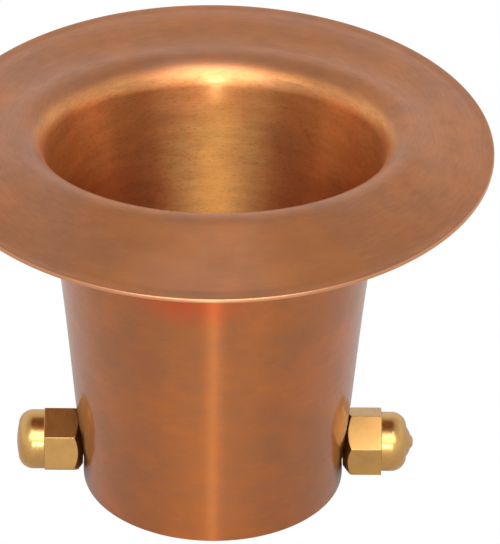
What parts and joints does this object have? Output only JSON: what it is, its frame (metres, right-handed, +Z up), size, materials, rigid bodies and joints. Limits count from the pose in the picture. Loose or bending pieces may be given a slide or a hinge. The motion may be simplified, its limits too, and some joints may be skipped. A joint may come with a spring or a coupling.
{
  "type": "rain chain gutter adapter",
  "caption": "Flanged, tapered copper sleeve with a cross rod held by domed brass cap nuts; it drops into a gutter's outlet hole and hangs a rain chain.",
  "frame": {"origin": "centre of the outlet rim, the lower end of the sleeve, which is also the middle of the part's base", "axes": "+Z up along the sleeve's axis towards the flange, +X along the cross rod towards the nut that comes off, -Y towards the camera of the picture"},
  "size_m": [0.1016, 0.1016, 0.0749],
  "materials": {
    "copper_sheet": "satin brushed copper with a light brown tarnish",
    "brass_rod": "turned brass rod",
    "brass_nut": "polished turned brass"
  },
  "bodies": {
    "sleeve": {"flanged_sleeve": "copper_sheet"},
    "rod": {"cross_rod": "brass_rod", "cap_nut_left": "brass_nut"},
    "nut": {"cap_nut_right": "brass_nut"}
  },
  "joints": [
    {"name": "rod_turn", "type": "hinge", "parent": "sleeve", "child": "rod", "pos_m": [0, 0, 0.0065], "axis": [-1, 0, 0], "range_deg": [0, 1800]},
    {"name": "nut_travel", "type": "slide", "parent": "sleeve", "child": "nut", "axis": [1, 0, 0], "range_m": [0, 0.00636]}
  ],
  "couplings": [
    {"joint": "nut_travel", "follows": "rod_turn", "m_per_rad": 0.00020213}
  ]
}
